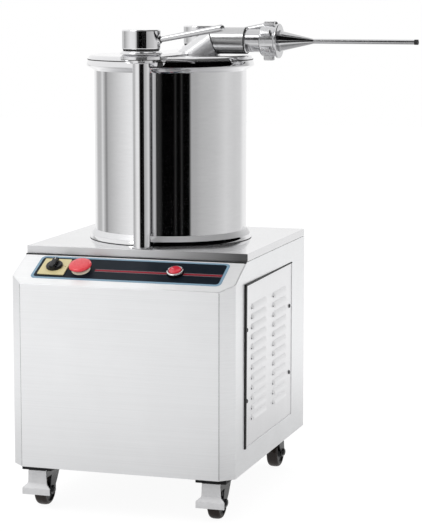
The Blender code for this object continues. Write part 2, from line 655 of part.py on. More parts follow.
def build_caster(machine, name, swivel, toward, brake):
    """toward is the side in y on which the wheel trails."""
    x, y = swivel
    plate = block((-MOUNT_HALF, -MOUNT_HALF, 0.0985), (MOUNT_HALF, MOUNT_HALF, 0.1035), 0.001)
    pin = turned([(0, 0.0830), (0.0110, 0.0830), (0.0110, 0.0858), (0.0080, 0.0858), (0.0080, 0.0990),
                  (0, 0.0990)], 14)
    piece(f"caster_plate_{name}", "zinc", plate, machine, [join(pin)], location=(x, y, 0))

    race = ring(0.0086, 0.0245, 0.0864, 0.0980, 20)
    side = [(-0.018, 0.0965), (0.020, 0.0965), (0.040, 0.058), (0.041, 0.036), (0.036, 0.0275),
            (0.028, 0.0245), (0.020, 0.0275), (0.0155, 0.034), (-0.012, 0.074)]
    side = [(toward * a, b) for a, b in side]
    steps = [join(merged([extruded(side, 0.0166, 0.0196, "X"), extruded(side, -0.0196, -0.0166, "X")]))]
    axle = [(0, -0.0250), (0.0088, -0.0250), (0.0088, -0.0190), (0.0050, -0.0190),
            (0.0050, 0.0190), (0.0088, 0.0190), (0.0088, 0.0250), (0, 0.0250)]
    steps.append(join(moved(turned(axle, 10), (0, toward * TRAIL, WHEEL_RADIUS), ALONG_X)))
    if brake:
        pivot = (0, toward * PEDAL_PIVOT[0], PEDAL_PIVOT[1])
        steps.append(cut(moved(rod(0.0036, -0.03, 0.03, 10), pivot, ALONG_X)))
    piece(f"caster_fork_{name}", "zinc", race, machine, steps, location=(x, y, 0))

    rim = WHEEL_RADIUS / math.cos(math.pi / WHEEL_FACETS)
    half = [(0.0057, 0.0152), (0.0150, 0.0152), (0.0275, 0.0105), (0.0290, 0.0140), (rim, 0.0115)]
    outline = [(r, -h) for r, h in half] + [(r, h) for r, h in reversed(half)]
    wheel = turned(outline, WHEEL_FACETS, math.pi / WHEEL_FACETS)
    centre = (x, y + toward * TRAIL, WHEEL_RADIUS)
    piece(f"caster_wheel_{name}", "rubber", wheel, machine, location=centre, rotation=ALONG_X)
    if not brake:
        return
    # The pedal hangs from pins in the fork legs; its plate stands before the wheel
    face = [(-0.0225, 0.0085), (-0.0225, -0.0235), (-0.0335, -0.0290), (-0.0335, -0.0470), (0.0335, -0.0470),
            (0.0335, -0.0290), (0.0225, -0.0235), (0.0225, 0.0085)]
    solid = moved(extruded(face, 0.0420, 0.0455), turn=(math.radians(90), 0, 0))
    cheeks = merged([block((start, -0.0425, -0.0080), (start + 0.0022, 0.0060, 0.0070))
                     for start in (-0.0225, 0.0203)])
    pins = merged([moved(rod(0.0031, 0.0163, 0.0215, 12), turn=(0, angle, 0))
                   for angle in (math.radians(-90), math.radians(90))])
    pivot = (x, y + toward * PEDAL_PIVOT[0], PEDAL_PIVOT[1])
    piece(f"brake_pedal_{name}", "zinc", solid, machine, [join(cheeks), join(pins)], location=pivot)


def main():
    clear_scene()
    machine = empty("machine", (-MIDDLE_X, -MIDDLE_Y, 0))
    build_cabinet(machine)
    build_side_panel(machine)
    build_barrel(machine)
    build_lid(machine)
    build_clamps(machine)
    build_nozzle(machine)
    build_controls(machine)
    build_ram(machine)
    build_power_pack(machine)
    for side, sign in (("left", -1), ("right", 1)):
        build_caster(machine, f"front_{side}", (sign * FRONT_SWIVEL[0], FRONT_SWIVEL[1]), -1, True)
        build_caster(machine, f"rear_{side}", (sign * REAR_SWIVEL[0], REAR_SWIVEL[1]), 1, False)


main()
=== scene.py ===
"""Looks of the hydraulic sausage stuffer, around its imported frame. Metres, in the frame's own coordinates."""

import json
from math import cos, pi, radians, sin, tau

import bmesh
import bpy
from mathutils import Matrix, Vector


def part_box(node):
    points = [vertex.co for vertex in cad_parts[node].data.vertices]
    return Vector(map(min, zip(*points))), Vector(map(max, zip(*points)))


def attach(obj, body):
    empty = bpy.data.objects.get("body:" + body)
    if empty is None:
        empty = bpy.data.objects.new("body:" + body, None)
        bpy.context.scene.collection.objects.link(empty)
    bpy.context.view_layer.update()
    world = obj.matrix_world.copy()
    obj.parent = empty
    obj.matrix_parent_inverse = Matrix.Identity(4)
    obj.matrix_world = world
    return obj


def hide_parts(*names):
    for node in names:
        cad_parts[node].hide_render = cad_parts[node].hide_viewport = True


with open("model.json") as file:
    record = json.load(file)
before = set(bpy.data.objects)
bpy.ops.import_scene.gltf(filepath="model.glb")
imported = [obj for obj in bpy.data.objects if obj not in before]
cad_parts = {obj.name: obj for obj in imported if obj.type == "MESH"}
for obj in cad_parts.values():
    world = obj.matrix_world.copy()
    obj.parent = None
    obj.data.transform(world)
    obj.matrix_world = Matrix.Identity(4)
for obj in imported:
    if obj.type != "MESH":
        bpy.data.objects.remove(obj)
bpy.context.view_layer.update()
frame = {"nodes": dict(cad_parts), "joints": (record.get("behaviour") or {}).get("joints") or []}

NODES = frame["nodes"]
JOINTS = {joint["name"]: joint for joint in frame["joints"]}
CORNERS = ("front_left", "front_right", "rear_left", "rear_right")

barrel_low, barrel_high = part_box("barrel")
plate_low, plate_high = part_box("top_plate")
cabinet_low, cabinet_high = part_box("cabinet_shell")
AXIS_X = (barrel_low.x + barrel_high.x) / 2
AXIS_Y = (barrel_low.y + barrel_high.y) / 2
DECK = plate_high.z
OUTLET_AXIS = JOINTS["union_nut_turn"]["pos_m"][2]

# Both turn a shape's Z to the frame's X. The second also lays its X along Y, and stands its Y along Z.
ALONG_X = Matrix.Rotation(radians(90), 4, "Y")
STANDING = Matrix(((0, 0, 1, 0), (1, 0, 0, 0), (0, 1, 0, 0), (0, 0, 0, 1)))


# Materials


LOOKS = {}


def new_tree(name):
    """A new material and its node tree."""
    made = bpy.data.materials.new(name)
    made.use_nodes = True
    return made, made.node_tree


def new_node(tree, kind, values=None):
    """A new node, with the given values on its inputs."""
    made = tree.nodes.new(f"ShaderNode{kind}")
    preset(made, values or {})
    return made


def preset(shader, values):
    for name, value in values.items():
        shader.inputs[name].default_value = value


def wire(source, output, target, into):
    target.id_data.links.new(source.outputs[output], target.inputs[into])


def add_look(name, colour, metallic, rough, grain, bump, shade, patch=9.0, coat=0.0, shine=0.5):
    """A shader whose colour, roughness and relief follow a stretched grain and a slow mottling.

    Roughness runs between the two values of rough, and the colour by the given shade to either side."""
    made, tree = new_tree(name)
    shader = tree.nodes["Principled BSDF"]
    preset(shader, {"Metallic": metallic, "Coat Weight": coat, "Coat Roughness": 0.12,
                    "Specular IOR Level": shine})
    place = new_node(tree, "TexCoord")
    scaled = new_node(tree, "Mapping", {"Scale": grain})
    wire(place, "Object", scaled, "Vector")
    streaks = new_node(tree, "TexNoise", {"Scale": 1.0, "Detail": 5.0, "Roughness": 0.6})
    wire(scaled, "Vector", streaks, "Vector")
    mottle = new_node(tree, "TexNoise", {"Scale": patch, "Detail": 3.0})
    wire(place, "Object", mottle, "Vector")
    blend = new_node(tree, "Mix", {"Factor": 0.45})
    wire(streaks, "Fac", blend, "A")
    wire(mottle, "Fac", blend, "B")

    ramp = new_node(tree, "ValToRGB")
    dark, light = ramp.color_ramp.elements
    dark.position = 0.32
    light.position = 0.68
    dark.color = [part * (1 - shade) for part in colour] + [1]
    light.color = [min(part * (1 + shade), 1) for part in colour] + [1]
    wire(blend, "Result", ramp, "Fac")
    wire(ramp, "Color", shader, "Base Color")
    span = new_node(tree, "MapRange", {"From Min": 0.3, "From Max": 0.7,
                                       "To Min": rough[0], "To Max": rough[1]})
    wire(blend, "Result", span, "Value")
    wire(span, "Result", shader, "Roughness")
    relief = new_node(tree, "Bump", {"Strength": bump, "Distance": 0.001})
    wire(streaks, "Fac", relief, "Height")
    wire(relief, "Normal", shader, "Normal")
    LOOKS[name] = made


# How fine a grain is along X, Y and Z: the brushing runs where it is least
BRUSHED_FRONT = (3, 40, 420)
BRUSHED_SLOPE = (3, 420, 40)
BRUSHED_SIDE = (40, 420, 3)
TURNED_UPRIGHT = (30, 30, 300)
TURNED_LEVEL = (240, 60, 60)


def even(fineness):
    return (fineness, fineness, fineness)


# Steel
add_look("front_sheet", (0.87, 0.875, 0.885), 0.8, (0.32, 0.4), BRUSHED_FRONT, 0.05, 0.04)
add_look("slope_sheet", (0.86, 0.865, 0.87), 0.4, (0.36, 0.44), BRUSHED_SLOPE, 0.05, 0.04)
add_look("side_sheet", (0.86, 0.86, 0.87), 0.8, (0.32, 0.42), BRUSHED_SIDE, 0.05, 0.04)
# A darker copy of the deck's steel for its front strip: painted shade, which darkens further to the right
add_look("lip_sheet", (0.7, 0.7, 0.71), 0.8, (0.34, 0.42), BRUSHED_FRONT, 0.03, 0.05)
add_look("foot_sheet", (0.74, 0.74, 0.75), 0.6, (0.38, 0.46), (60, 60, 300), 0.02, 0.04)
add_look("deck_sheet", (0.74, 0.74, 0.75), 0.85, (0.07, 0.14), BRUSHED_SLOPE, 0.015, 0.05)
add_look("mirror_steel", (0.8, 0.8, 0.81), 1, (0.045, 0.085), TURNED_UPRIGHT, 0.006, 0.03)
add_look("mirror_steel_level", (0.78, 0.78, 0.79), 0.9, (0.05, 0.1), TURNED_LEVEL, 0.006, 0.03)
add_look("satin_steel_level", (0.62, 0.62, 0.63), 1, (0.17, 0.26), TURNED_LEVEL, 0.01, 0.05)
# Lit and shaded copies of one steel: the pipe's is darker, painted shade, and darker still below its axis, a
# painted reflection
add_look("outlet_pipe", (0.57, 0.57, 0.575), 0.9, (0.15, 0.24), TURNED_LEVEL, 0.01, 0.05)
add_look("outlet_leg", (0.76, 0.76, 0.77), 0.75, (0.2, 0.3), TURNED_LEVEL, 0.01, 0.05)
add_look("ground_steel", (0.66, 0.66, 0.67), 1, (0.24, 0.32), even(90), 0.008, 0.04)
add_look("nozzle_steel", (0.58, 0.58, 0.59), 1, (0.1, 0.18), TURNED_LEVEL, 0.01, 0.05)
# Zinc, paint and castings
add_look("zinc_plate", (0.62, 0.63, 0.64), 1, (0.26, 0.4), even(140), 0.04, 0.1, 30)
add_look("pedal_zinc", (0.6, 0.6, 0.61), 0.3, (0.34, 0.46), even(140), 0.04, 0.07, 30)
# Near-black with strong mottling: painted dark reflections on the plated forks and pedal arms
add_look("fork_painted_dark_reflection", (0.018, 0.018, 0.019), 0, (0.1, 0.3), even(140), 0.3, 0.3, 60, shine=0.6)
add_look("mount_black", (0.008, 0.008, 0.009), 0, (0.4, 0.55), even(140), 0.05, 0.15, 30, shine=0.2)
# Dark zinc; on the base tray and the strips at the chamfers it paints the shade under and along the cabinet
add_look("dark_zinc_and_painted_shade", (0.1, 0.1, 0.105), 1, (0.3, 0.45), even(140), 0.05, 0.15, 30)
add_look("grey_paint", (0.26, 0.28, 0.3), 0, (0.38, 0.5), even(300), 0.05, 0.05)
add_look("blue_paint", (0.03, 0.1, 0.24), 0, (0.35, 0.48), even(300), 0.06, 0.06)
add_look("cast_metal", (0.4, 0.41, 0.42), 0.9, (0.45, 0.6), even(380), 0.25, 0.1)
# Plastics, films and rubber
add_look("black_plastic", (0.006, 0.006, 0.007), 0, (0.18, 0.28), even(500), 0.03, 0.2, shine=0.35)
add_look("white_plastic", (0.78, 0.79, 0.78), 0, (0.35, 0.45), even(400), 0.03, 0.03)
add_look("border_film", (0.19, 0.31, 0.41), 0, (0.45, 0.55), even(500), 0.02, 0.12)
add_look("navy_film", (0.004, 0.009, 0.016), 0, (0.4, 0.5), even(500), 0.02, 0.2, shine=0.12)
add_look("crimson_film", (0.33, 0.01, 0.025), 0, (0.4, 0.5), even(500), 0.02, 0.1, shine=0.2)
add_look("pink_film", (0.36, 0.2, 0.22), 0, (0.4, 0.5), even(500), 0.02, 0.1, shine=0.2)
add_look("yellow_plate", (0.62, 0.54, 0.29), 0, (0.32, 0.42), even(400), 0.02, 0.04)
add_look("red_plastic", (0.68, 0.045, 0.06), 0, (0.22, 0.32), even(400), 0.02, 0.04, coat=0.3)
add_look("red_lens", (0.6, 0.03, 0.05), 0, (0.1, 0.16), even(300), 0.01, 0.08, coat=0.6)
add_look("cream_plastic", (0.78, 0.72, 0.58), 0, (0.36, 0.46), even(400), 0.02, 0.04)
add_look("wheel_rubber", (0.012, 0.007, 0.005), 0, (0.12, 0.34), even(260), 0.3, 0.4, 60, shine=0.45)
# Plain black for the pieces that paint shade and shadow
add_look("painted_shadow_black", (0.01, 0.01, 0.01), 0, (0.5, 0.65), even(300), 0.08, 0.2)


def paint_shade_along(look, axis, start, end, share):
    """Paints shade into a look along an axis: full colour at start, down to the given share of it at end."""
    tree = LOOKS[look].node_tree
    shader = tree.nodes["Principled BSDF"]
    full = shader.inputs["Base Color"].links[0].from_socket
    place = new_node(tree, "TexCoord")
    split = new_node(tree, "SeparateXYZ")
    wire(place, "Object", split, "Vector")
    span = new_node(tree, "MapRange", {"From Min": start, "From Max": end, "To Min": 1.0, "To Max": share})
    wire(split, axis, span, "Value")
    scale = new_node(tree, "VectorMath")
    scale.operation = "SCALE"
    tree.links.new(full, scale.inputs["Vector"])
    wire(span, "Result", scale, "Scale")
    wire(scale, "Vector", shader, "Base Color")


# Painted shade: the deck's front strip darkens to the right in place of its edge's reflection, and the outlet's
# pipe darkens below its axis in place of a reflection
paint_shade_along("lip_sheet", "X", AXIS_X - 0.03, AXIS_X + 0.25, 0.15)
paint_shade_along("outlet_pipe", "Z", OUTLET_AXIS + 0.004, OUTLET_AXIS - 0.002, 0.45)

CAD_LOOKS = {
    "front_sheet": ["rear_panel"],
    "dark_zinc_and_painted_shade": ["base_tray"],
    "zinc_plate": ["ram_gland", "valve_block", "pressure_pipe", "ram_pipe"],
    "grey_paint": ["ram_cylinder", "oil_tank", "tank_cover"],
    "blue_paint": ["motor"],
    "cast_metal": ["bell_housing", "gear_pump"],
    "ground_steel": ["ram_rod", "piston"],
    "black_plastic": ["cable_gland", "switch_body"],
    "white_plastic": ["control_box", "piston_seal", "stop_stem"],
}


def dress_cad_nodes():
    """Looks for the CAD nodes that stay visible as they are."""
    for look, nodes in CAD_LOOKS.items():
        for node in nodes:
            mesh = NODES[node].data
            mesh.materials.clear()
            mesh.materials.append(LOOKS[look])
            for face in mesh.polygons:
                face.material_index = 0


# Shapes


def softened(outline, radius, steps=3, closed=True):
    """Rounds the corners of an outline. Points on the turning axis stay sharp."""
    points = [Vector(point) for point in outline]
    found = []
    for i, point in enumerate(points):
        before = points[i - 1]
        after = points[(i + 1) % len(points)]
        if point.x == 0 or (not closed and i in (0, len(points) - 1)):
            found.append(tuple(point))
            continue
        back = min(radius, 0.45 * (before - point).length)
        ahead = min(radius, 0.45 * (after - point).length)
        start = point + (before - point).normalized() * back
        end = point + (after - point).normalized() * ahead
        for step in range(steps + 1):
            t = step / steps
            found.append(tuple(start * (1 - t) ** 2 + point * 2 * t * (1 - t) + end * t * t))
    return found


def turned(outline, steps=96, radius=0.0006):
    """A closed outline of (radius, height) turned about Z, with its corners rounded."""
    if radius:
        outline = softened(outline, radius)
    solid = bmesh.new()
    rings = []
    for distance, height in outline:
        angles = [tau * step / steps for step in range(steps if distance else 1)]
        ring = [(distance * cos(a), distance * sin(a), height) for a in angles]
        rings.append([solid.verts.new(point) for point in ring])
    for here, after in zip(rings, rings[1:] + rings[:1]):
        for step in range(steps):
            beside = (step + 1) % steps
            corners = [here[step % len(here)], here[beside % len(here)]]
            corners += [after[beside % len(after)], after[step % len(after)]]
            corners = list(dict.fromkeys(corners))
            if len(corners) > 2:
                solid.faces.new(corners)
    bmesh.ops.recalc_face_normals(solid, faces=solid.faces)
    return solid


def rod(radius, low, high, steps=48, edge=0):
    """A cylinder about Z, its edges rounded if asked."""
    return turned([(0, low), (radius, low), (radius, high), (0, high)], steps, edge)


def lofted(rings, cap=True):
    """A skin over rings of equal counts, closed at both ends if capped."""
    solid = bmesh.new()
    rows = [[solid.verts.new(point) for point in points] for points in rings]
    for here, after in zip(rows, rows[1:]):
        for i in range(len(here)):
            j = (i + 1) % len(here)
            solid.faces.new((here[i], here[j], after[j], after[i]))
    if cap:
        solid.faces.new(rows[0])
        solid.faces.new(rows[-1])
    bmesh.ops.recalc_face_normals(solid, faces=solid.faces)
    return solid


def stacked(outline_at, profile):
    """Layers of one outline, each at an (inset, height) of the profile."""
    return lofted([[(x, y, height) for x, y in outline_at(inset)] for inset, height in profile])


def block(low, high, edge=0.0, segments=3):
    """A box between two corners, its edges rounded by the given width."""
    solid = bmesh.new()
    bmesh.ops.create_cube(solid, size=1)
    for vertex in solid.verts:
        vertex.co = [a + (c + 0.5) * (b - a) for a, b, c in zip(low, high, vertex.co)]
    if edge:
        bmesh.ops.bevel(
            solid, geom=solid.edges[:], offset=edge, segments=segments, profile=0.5, affect="EDGES"
        )
    return solid


def extruded(corners, low, high, edge=0.0, segments=2):
    """A flat outline between two heights, its rims rounded by the given width."""
    solid = lofted([[(x, y, low) for x, y in corners], [(x, y, high) for x, y in corners]])
    if edge:
        rims = [e for e in solid.edges if abs(e.verts[0].co.z - e.verts[1].co.z) < 1e-7]
        bmesh.ops.bevel(solid, geom=rims, offset=edge, segments=segments, profile=0.5, affect="EDGES")
    return solid


def rounded_rectangle(low, high, radius, steps=6):
    points = []
    for side_x, side_y, start in ((1, 1, 0), (0, 1, 1), (0, 0, 2), (1, 0, 3)):
        centre_x = high[0] - radius if side_x else low[0] + radius
        centre_y = high[1] - radius if side_y else low[1] + radius
        for i in range(steps + 1):
            angle = pi / 2 * (start + i / steps)
            points.append((centre_x + radius * cos(angle), centre_y + radius * sin(angle)))
    return points


def shifted(solid, matrix):
    bmesh.ops.transform(solid, matrix=matrix, verts=solid.verts)
    return solid


def at(x, y, z):
    return Matrix.Translation((x, y, z))


def mesh_of(name, solid):
    mesh = bpy.data.meshes.new(name)
    solid.to_mesh(mesh)
    solid.free()
    return mesh


def merged(solids):
    whole = bmesh.new()
    for solid in solids:
        mesh = mesh_of("shape", solid)
        whole.from_mesh(mesh)
        bpy.data.meshes.remove(mesh)
    return whole


def added(name, data):
    """A new object in the scene."""
    made = bpy.data.objects.new(name, data)
    bpy.context.scene.collection.objects.link(made)
    return made


def worked(solid, steps):
    """The first solid after joining or cutting each further one."""
    base = added("blank", mesh_of("blank", solid))
    helpers = [base]
    for operation, shape in steps:
        modifier = base.modifiers.new(operation, "BOOLEAN")
        modifier.operation = operation
        modifier.solver = "EXACT"
        modifier.object = added("tool", mesh_of("tool", shape))
        helpers.append(modifier.object)
    bpy.context.view_layer.update()
    mesh = bpy.data.meshes.new_from_object(base.evaluated_get(bpy.context.evaluated_depsgraph_get()))
    for helper in helpers:
        bpy.data.objects.remove(helper, do_unlink=True)
    result = bmesh.new()
    result.from_mesh(mesh)
    bpy.data.meshes.remove(mesh)
    return result


def join(solid):
    return ("UNION", solid)


def cut(solid):
    return ("DIFFERENCE", solid)


def piece(name, look, solid, body, stands_for=None, matrix=None, bevel=0.0, crease=35):
    """One visible piece, in the frame's coordinates, riding on a body and standing for a CAD node."""
    if matrix is not None:
        shifted(solid, matrix)
    mesh = mesh_of(name, solid)
    mesh.materials.append(LOOKS[look])
    for face in mesh.polygons:
        face.use_smooth = True
        face.material_index = 0
    mesh.set_sharp_from_angle(angle=radians(crease))
    made = added(name, mesh)
    if bevel:
        edges = made.modifiers.new("edges", "BEVEL")
        edges.width = bevel
        edges.segments = 3
        edges.limit_method = "ANGLE"
        edges.angle_limit = radians(30)
        edges.harden_normals = True
    normals = made.modifiers.new("normals", "WEIGHTED_NORMAL")
    normals.keep_sharp = True
    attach(made, body)
    if stands_for:
        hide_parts(stands_for)


def shadow_piece(name, solid, body, matrix=None):
    """A black piece that stands in for shade and shadow where parts meet."""
    piece(name, "painted_shadow_black", solid, body, matrix=matrix)


def cad_copy(node):
    """A CAD node's mesh with its flat faces joined up again."""
    solid = bmesh.new()
    solid.from_mesh(NODES[node].data)
    bmesh.ops.remove_doubles(solid, verts=solid.verts, dist=1e-6)
    bmesh.ops.dissolve_limit(solid, angle_limit=radians(1), verts=solid.verts, edges=solid.edges)
    return solid


# Cabinet


CORNER = 0.03       # the chamfer between the front and each side
SLOPE_RISE = 0.0535  # the height of the control surface
LIP_DEPTH = 0.0028   # the top plate's front strip
PANEL_SET_BACK = 0.0015

# The louvres' two columns, from the barrel's axis, and how their rows step down
LOUVRE_COLUMNS = ((-0.212, -0.097), (-0.035, 0.075))
LOUVRE_ROWS = 12
LOUVRE_PITCH = 0.0232
LOUVRE_TOP = 0.481


def build_cabinet():
    piece("cabinet_skin", "front_sheet", cad_copy("cabinet_shell"), "base",
          "cabinet_shell", bevel=0.0032, crease=20)
    build_deck()
    build_fold_shades()
    build_slope_sheet()
    build_deck_shadow()


def build_deck():
    """The top plate, its front strip a piece of its own that carries painted shade."""
    fold = plate_low.y + LIP_DEPTH
    beyond = 0.01
    ahead = block((plate_low.x - beyond, plate_low.y - beyond, plate_low.z - beyond),
                  (plate_high.x + beyond, fold, plate_high.z + beyond))
    plate = worked(cad_copy("top_plate"), [cut(ahead)])
    piece("deck_plate", "deck_sheet", plate, "base", "top_plate", crease=20)
    lip = block((plate_low.x, plate_low.y, plate_low.z), (plate_high.x, fold, plate_high.z), 0.0008, 2)
    piece("deck_lip", "lip_sheet", lip, "base", crease=20)


def build_fold_shades():
    """Dark strips where the chamfered corners meet the front: painted shade along the bends."""
    fold_shades = []
    for x in (cabinet_low.x + CORNER, cabinet_high.x - CORNER):
        low = (x - 0.001, cabinet_low.y + 0.0002, cabinet_low.z + 0.002)
        high = (x + 0.001, cabinet_low.y + 0.003, cabinet_high.z - SLOPE_RISE - 0.001)
        fold_shades.append(block(low, high, 0.0003, 1))
    piece("cabinet_fold_painted_shade", "dark_zinc_and_painted_shade", merged(fold_shades), "base")


def build_slope_sheet():
    """A thin sheet on the control surface, clear of its edges."""
    middle = (cabinet_low.x + cabinet_high.x) / 2
    half = (cabinet_high.x - cabinet_low.x) / 2
    edge = 0.0034
    right = [(half - CORNER - 0.0015, edge), (half - edge, 0.032), (half - edge, 0.1225)]
    left = [(-x, y) for x, y in reversed(right)]
    place = slope_frame((middle, cabinet_low.y, cabinet_high.z - SLOPE_RISE))
    sheet = extruded(right + left, -0.0002, 0.00025)
    piece("slope_sheet", "slope_sheet", sheet, "base", matrix=place)


def build_deck_shadow():
    """A dark strip in the gap under the top plate's front: painted shadow."""
    low = (plate_low.x + 0.0004, plate_low.y - 0.0075, plate_low.z - 0.0034)
    high = (plate_high.x - 0.0004, plate_low.y - 0.0004, plate_low.z - 0.0001)
    shadow_piece("deck_painted_shadow", block(low, high, 0.0004, 1), "base")


def build_side_trim():
    """A black profile along the side panel's top and front edges, painted shadow in the gap there, and steel
    fillets along the others.
    """
    low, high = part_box("side_panel")
    face = cabinet_high.x
    back = face - 0.004
    near, far = low.y - 0.0078, low.y - 0.0006
    top = high.z + 0.0032
    under = high.z + 0.0003

    def across(lip, z):
        return [(back, near, z), (face + lip, near, z), (face + lip, far, z), (back, far, z)]

    def along(y, lip, above):
        return [(back, y, under), (face + lip, y, under), (face + lip, y, above), (back, y, above)]

    upright = lofted([across(0.003, low.z - 0.001), across(0.0045, top)])
    level = lofted([along(near, 0.0045, top + 0.0012), along(high.y, 0.0012, top - 0.001)])
    shadow_piece("side_panel_painted_shadow", merged([upright, level]), "base")

    inside = face - 0.0012
    bottom = block((back, low.y, low.z - 0.0015), (inside, high.y + 0.0014, low.z - 0.0003))
    rear = block((back, high.y + 0.0003, low.z - 0.0015), (inside, high.y + 0.0014, top))
    piece("side_panel_fillet", "side_sheet", merged([bottom, rear]), "base")


def louvre_hood(length, height, depth, wall):
    """A pressed hood along X, standing out along +Z, open along its lower edge, with sloping ends."""
    across = 8
    end = 0.0045
    rings = []
    for x, share in ((-length / 2, 0.25), (-length / 2 + end, 1), (length / 2 - end, 1), (length / 2, 0.25)):
        curve = [(t / across, sin(t / across * pi / 2) ** 0.8) for t in range(across + 1)]
        outer = [(height * (1 - t), depth * share * lift) for t, lift in curve]
        inner = [(height * (1 - t), depth * share * lift - wall) for t, lift in reversed(curve)]
        rings.append([(x, y, z) for y, z in outer + inner])
    return lofted(rings)


def build_side_panel():
    low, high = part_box("side_panel")
    face = cabinet_high.x - PANEL_SET_BACK
    slots = []
    hoods = []
    ends = []
    for start, end in LOUVRE_COLUMNS:
        middle = (start + end) / 2 + AXIS_Y
        for row in range(LOUVRE_ROWS):
            drop = row * LOUVRE_PITCH
            bottom = LOUVRE_TOP - 0.0135 - drop
            slots.append(block((face - 0.01, start + AXIS_Y + 0.001, bottom + 0.0008),
                               (face + 0.01, end + AXIS_Y - 0.001, bottom + 0.0085)))
            hood = louvre_hood(end - start, 0.013, 0.005, 0.001)
            hoods.append(shifted(hood, at(face, middle, bottom) @ STANDING))
            # A black block in each louvre's front end: painted shade in its opening
            shade_low = (face + 0.0002, start + AXIS_Y - 0.0006, LOUVRE_TOP - 0.0125 - drop)
            shade_high = (face + 0.0016, start + AXIS_Y + 0.0014, LOUVRE_TOP - 0.0095 - drop)
            ends.append(block(shade_low, shade_high, 0.0004, 1))
    holes = [shifted(rod(0.003, -0.01, 0.01, 24), at(face, y, z) @ ALONG_X) for y, z in screw_places()]
    sheet = block((face - 0.0015, low.y, low.z), (face, high.y, high.z))
    panel = worked(sheet, [cut(merged(slots)), cut(merged(holes))])
    piece("side_panel_sheet", "side_sheet", panel, "base", "side_panel")
    piece("side_panel_louvres", "side_sheet", merged(hoods), "base", crease=50)
    shadow_piece("side_panel_louvre_painted_shade", merged(ends), "base")
    build_side_trim()
    build_side_screws(face)


def build_side_screws(face):
    """Domed screws with a cross recess."""
    head = [(0, -0.01), (0.0021, -0.01), (0.0021, 0.0003), (0.005, 0.0003), (0.0047, 0.0018),
            (0.003, 0.003), (0, 0.0033)]
    for i, (y, z) in enumerate(screw_places()):
        recess = merged([block((-0.0032, -0.0005, 0.0018), (0.0032, 0.0005, 0.006)),
                         block((-0.0005, -0.0032, 0.0017), (0.0005, 0.0032, 0.0061))])
        screw = worked(turned(head, 32, 0.0004), [cut(recess)])
        piece(f"side_screw_{i + 1}", "dark_zinc_and_painted_shade", screw, "base",
              f"side_panel_screw_{i + 1}", at(face, y, z) @ ALONG_X)


def screw_places():
    places = []
    for i in range(4):
        low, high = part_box(f"side_panel_screw_{i + 1}")
        places.append(((low.y + high.y) / 2, (low.z + high.z) / 2))
    return places


# Barrel, posts and lid


# The barrel's radii
TUBE = 0.18
BORE = 0.175
FOOT = 0.192
RIM = 0.198

# The lid's disc and cross bar
LID_THICK = 0.011
BAR_TOP = DECK + 0.44
EAR = 0.048

# The outlet: how steeply its leg climbs, where it bends, and its radii
OUTLET_SLOPE = radians(35)
MITRE_X = 0.11
PIPE = 0.031
OUTLET_BORE = 0.0235
OUTLET_PLACE = at(AXIS_X, AXIS_Y, OUTLET_AXIS) @ ALONG_X

LUGS = 6
LEVER_TILT = at(0.0415, 0, 0.4725) @ Matrix.Rotation(radians(90) - radians(10.6), 4, "Y")


def arc_down(radius, low, rise, first, last, steps=6):
    """A rounded edge that leans inwards as it climbs, facing from first to last degrees above level."""
    start, end = radians(first), radians(last)
    bend = rise / (sin(end) - sin(start))
    points = []
    for step in range(steps + 1):
        angle = start + (end - start) * step / steps
        inwards = bend * (cos(start) - cos(angle))
        points.append((radius - inwards, low + bend * (sin(angle) - sin(start))))
    return points


def build_barrel():
    place = at(AXIS_X, AXIS_Y, DECK)
    height = barrel_high.z - DECK
    outline = [(BORE, 0.0003), (0.1912, 0.0003), (FOOT, 0.0012)]
    outline += arc_down(FOOT, 0.0014, 0.0082, 18, 34)
    outline += [(0.186, 0.0099), (TUBE, 0.0102), (TUBE, 0.396)]
    outline += [(0.1835, 0.399), (0.1878, 0.4017), (0.1928, 0.4042), (0.1968, 0.4068), (RIM, 0.4085)]
    outline += arc_down(RIM, 0.4088, height - 0.4092, 7, 22)
    outline += [(BORE, height)]
    piece("barrel_body", "mirror_steel", turned(outline, 144, 0), "base", "barrel",
          place, crease=24)
    flare = [(0.179, 0.0096), (0.188, 0.0096), (0.1884, 0.0101), (0.1872, 0.0118), (0.185, 0.0151),
             (0.1828, 0.0184), (0.1802, 0.0223), (0.179, 0.0223)]
    piece("barrel_foot_flare", "foot_sheet", turned(flare, 144, 0), "base",
          matrix=place, crease=24)
    # A black ring under the foot's rim: painted shadow where the barrel stands on the deck
    foot = [(0.187, 0.00005), (0.1916, 0.00005), (0.1921, 0.0005), (0.1921, 0.0014), (0.1912, 0.0018),
            (0.187, 0.0002)]
    shadow_piece("barrel_foot_painted_shadow", turned(foot, 120, 0), "base", place)


def post_place(side):
    low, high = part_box(f"{side}_post")
    return (low.x + high.x) / 2, (low.y + high.y) / 2


def build_posts():
    height = barrel_high.z - DECK
    outline = [(0, -0.02), (0.008, -0.02), (0.008, 0.0003), (0.02, 0.0003), (0.02, height - 0.0015),
               (0.0188, height), (0.012, height), (0.012, height + 0.064), (0.0105, height + 0.0665),
               (0, height + 0.0665)]
    ring = [(0.0203, 0.0003), (0.0235, 0.0003), (0.0235, 0.0012), (0.0215, 0.0026), (0.0203, 0.0026)]
    for side in ("front", "rear"):
        x, y = post_place(side)
        piece(f"{side}_post_bar", "mirror_steel", turned(outline, 64), "base",
              f"{side}_post", at(x, y, DECK))
        piece(f"{side}_post_foot", "ground_steel", turned(ring, 64, 0.0003), "base",
              matrix=at(x, y, DECK))


def outlet_ring(radius, centre, normal, axis, steps):
    """Where a tube along the axis meets the plane through the centre with that normal."""
    side = Vector((0, 1, 0))
    up = side.cross(axis)
    points = []
    for step in range(steps):
        angle = tau * step / steps
        offset = radius * (side * cos(angle) + up * sin(angle))
        points.append(centre + offset - axis * (offset.dot(normal) / axis.dot(normal)))
    return points


